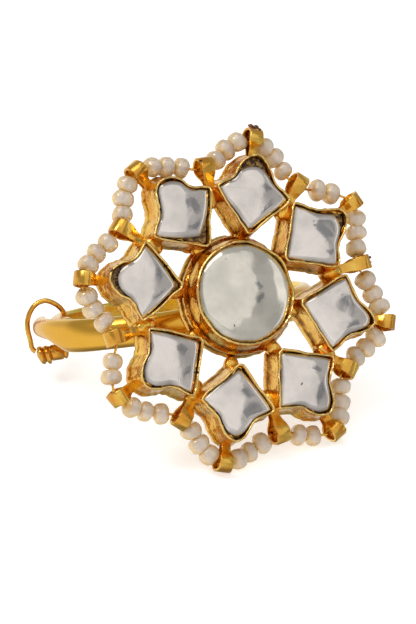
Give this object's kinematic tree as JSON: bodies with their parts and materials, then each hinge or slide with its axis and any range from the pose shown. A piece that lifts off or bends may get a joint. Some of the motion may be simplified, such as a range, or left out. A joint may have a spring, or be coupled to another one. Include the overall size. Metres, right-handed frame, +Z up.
{
  "type": "finger ring",
  "caption": "Finger ring with a flower of foil-backed crystals in petal-shaped boxes, a rim of seed pearls threaded through wire loops, and an open strip shank with a wire keeper.",
  "frame": {"origin": "Middle of the bounding box's bottom, on the surface on which the ring lies on its side.", "axes": "+Z is up as the ring lies. The flower faces -Y and leans back, so it looks up as well. The shank runs back towards +Y, and its overlapping ends lie on the -X side."},
  "size_m": [0.0234, 0.0248, 0.02],
  "materials": {
    "gilded_metal": "rich yellow gilding, satin and hand worked",
    "foiled_crystal": "polished clear crystal over bright silvery foil, so that it can't be seen through",
    "seed_pearl": "soft off-white nacre with a pinkish cast"
  },
  "bodies": {
    "root": {"ring_frame": "gilded_metal", "keeper_loop": "gilded_metal", "centre_stone": "foiled_crystal", "petal_stone_1": "foiled_crystal", "petal_stone_2": "foiled_crystal", "petal_stone_3": "foiled_crystal", "petal_stone_4": "foiled_crystal", "petal_stone_5": "foiled_crystal", "petal_stone_6": "foiled_crystal", "petal_stone_7": "foiled_crystal", "petal_stone_8": "foiled_crystal", "pearl_string": "seed_pearl"}
  },
  "joints": []
}
